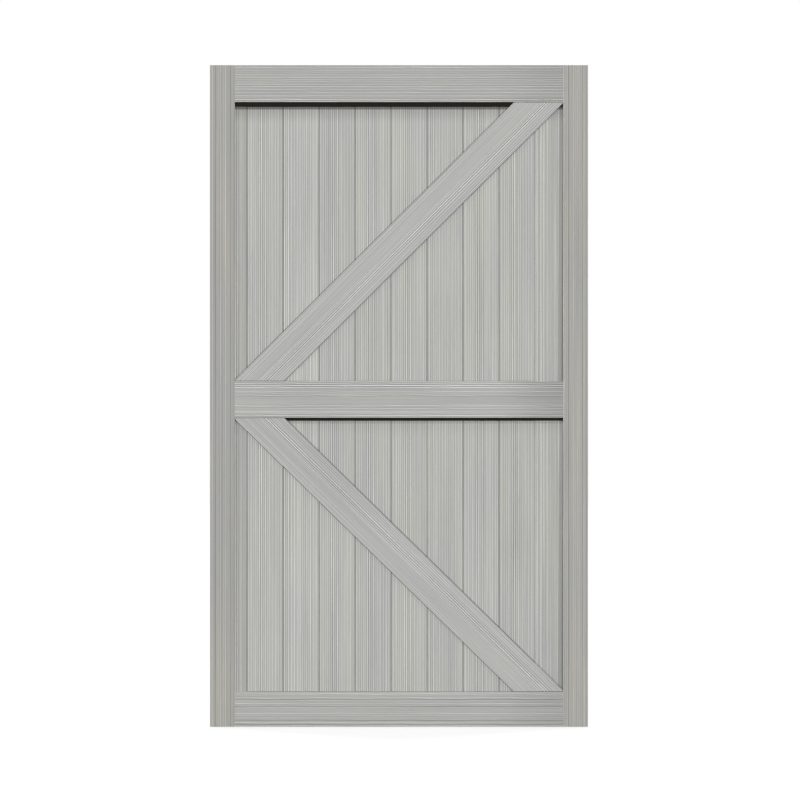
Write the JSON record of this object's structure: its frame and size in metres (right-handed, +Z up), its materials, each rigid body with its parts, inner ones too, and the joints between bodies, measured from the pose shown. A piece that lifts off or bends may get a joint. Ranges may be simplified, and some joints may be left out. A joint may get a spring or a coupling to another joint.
{
  "type": "barn door leaf",
  "caption": "Tall framed and braced barn door leaf with two panels of upright tongued and grooved boards under dark head channels.",
  "frame": {"origin": "middle of the top edge, halfway through the thickness, where the door hangs", "axes": "+X to the right seen from the front, +Y from the braced front to the plain back, +Z up"},
  "size_m": [1.2192, 0.038, 2.1336],
  "materials": {
    "frame_timber": "combed, silver-grey stained",
    "board_timber": "combed, pale silver-grey stained",
    "brace_timber": "combed, silver-grey stained",
    "dark_channel": "matt, near black"
  },
  "bodies": {
    "root": {"left_stile": "frame_timber", "right_stile": "frame_timber", "top_rail": "frame_timber", "mid_rail": "frame_timber", "bottom_rail": "frame_timber", "upper_brace": "brace_timber", "lower_brace": "brace_timber", "upper_head_channel": "dark_channel", "lower_head_channel": "dark_channel", "upper_board_01": "board_timber", "upper_board_02": "board_timber", "upper_board_03": "board_timber", "upper_board_04": "board_timber", "upper_board_05": "board_timber", "upper_board_06": "board_timber", "upper_board_07": "board_timber", "upper_board_08": "board_timber", "upper_board_09": "board_timber", "upper_board_10": "board_timber", "lower_board_01": "board_timber", "lower_board_02": "board_timber", "lower_board_03": "board_timber", "lower_board_04": "board_timber", "lower_board_05": "board_timber", "lower_board_06": "board_timber", "lower_board_07": "board_timber", "lower_board_08": "board_timber", "lower_board_09": "board_timber", "lower_board_10": "board_timber"}
  },
  "joints": []
}
